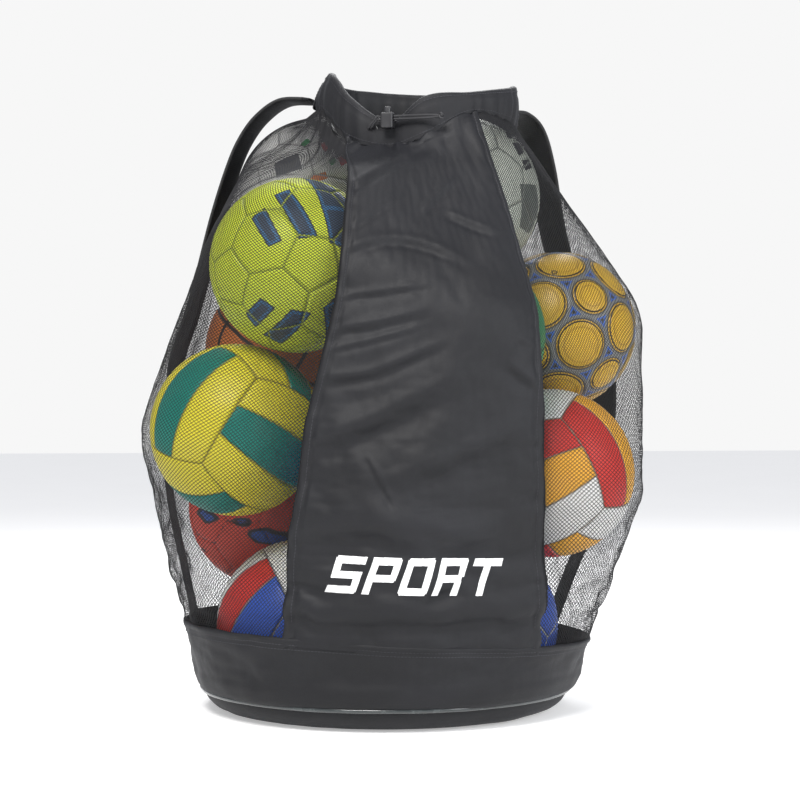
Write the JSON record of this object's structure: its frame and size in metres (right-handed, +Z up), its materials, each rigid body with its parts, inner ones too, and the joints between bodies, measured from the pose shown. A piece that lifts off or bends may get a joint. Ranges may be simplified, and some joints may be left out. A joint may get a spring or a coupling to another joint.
{
  "type": "mesh ball bag",
  "caption": "Free-standing mesh ball bag with a solid front panel, round padded base band, drawcord collar with cord lock and back shoulder straps, filled with sports balls.",
  "frame": {"origin": "centre of the flat underside", "axes": "+Z up through the collar, -Y out of the solid front panel, +X to the right seen from the front"},
  "size_m": [0.6476, 0.5509, 0.7927],
  "materials": {
    "shell_fabric": "satin",
    "panel_fabric": "satin",
    "net": "matt",
    "binding": "matt",
    "piping": "gloss",
    "webbing": "matt",
    "pad_fabric": "matt",
    "cord": "matt",
    "nickel": "polished",
    "spring_steel": "satin",
    "lock_plastic": "satin",
    "ball_lime": "satin",
    "ball_yellow_teal": "satin",
    "ball_tricolour": "satin",
    "ball_gold": "gloss",
    "ball_red_yellow": "satin",
    "ball_blue": "satin",
    "ball_white": "satin",
    "ball_green": "satin",
    "ball_orange": "matt",
    "ball_red": "satin"
  },
  "bodies": {
    "root": {"base_disc": "shell_fabric", "base_piping": "piping", "base_band": "shell_fabric", "band_facing": "binding", "front_panel": "panel_fabric", "net_left": "net", "net_right": "net", "seam_tape_left": "binding", "seam_tape_right": "binding", "seam_tape_back": "binding", "collar_outer": "shell_fabric", "collar_lining": "shell_fabric", "drawcord_loop": "cord", "drawcord_tails": "cord", "cord_knot": "cord", "eyelet": "nickel", "eyelet_washer": "nickel", "strap_patch_left": "shell_fabric", "strap_tab_left": "webbing", "strap_patch_right": "shell_fabric", "strap_tab_right": "webbing", "ball_handball_yellow": "ball_lime", "ball_volley_teal": "ball_yellow_teal", "ball_volley_tricolour": "ball_tricolour", "ball_football_gold": "ball_gold", "ball_volley_red": "ball_red_yellow", "ball_blue": "ball_blue", "ball_white_right": "ball_white", "ball_white_left": "ball_white", "ball_green": "ball_green", "ball_basketball": "ball_orange", "ball_red": "ball_red", "ball_back_low": "ball_white", "ball_front_mid": "ball_blue", "ball_back_up": "ball_lime", "ball_small": "ball_white"},
    "strap_left": {"strap_pad_left": "pad_fabric", "strap_adjuster_left": "lock_plastic"},
    "webbing_left": {"strap_webbing_left": "webbing"},
    "strap_right": {"strap_pad_right": "pad_fabric", "strap_adjuster_right": "lock_plastic"},
    "webbing_right": {"strap_webbing_right": "webbing"},
    "cord_lock": {"cord_lock_body": "lock_plastic", "cord_lock_spring": "spring_steel"},
    "cord_lock_button": {"cord_lock_button": "lock_plastic"}
  },
  "joints": [
    {"name": "left_strap_lift", "type": "hinge", "parent": "root", "child": "strap_left", "pos_m": [-0.08041, 0.05857, 0.768], "axis": [0.3872, 0.922, 0], "range_deg": [0, 7]},
    {"name": "left_webbing_swing", "type": "hinge", "parent": "root", "child": "webbing_left", "pos_m": [-0.23411, 0.12313, 0.1016], "axis": [-0.3872, -0.922, 0], "range_deg": [0, 13.66]},
    {"name": "right_strap_lift", "type": "hinge", "parent": "root", "child": "strap_right", "pos_m": [0.15688, 0.06628, 0.758], "axis": [0.4462, -0.8949, 0], "range_deg": [0, 7]},
    {"name": "right_webbing_swing", "type": "hinge", "parent": "root", "child": "webbing_right", "pos_m": [0.23543, 0.10545, 0.08004], "axis": [-0.4462, 0.8949, 0], "range_deg": [0, 12.12]},
    {"name": "cord_lock_slide", "type": "slide", "parent": "root", "child": "cord_lock", "axis": [0.9063, -0.4226, 0], "range_m": [0, 0.04]},
    {"name": "cord_lock_press", "type": "slide", "parent": "cord_lock", "child": "cord_lock_button", "axis": [0, 0, -1], "range_m": [0, 0.0035], "stiffness_N_per_m": 400, "springref_m": -0.002, "deforming": ["cord_lock_spring"]}
  ],
  "couplings": [
    {"joint": "left_webbing_swing", "follows": "left_strap_lift", "ratio": 1.95},
    {"joint": "right_webbing_swing", "follows": "right_strap_lift", "ratio": 1.73}
  ]
}
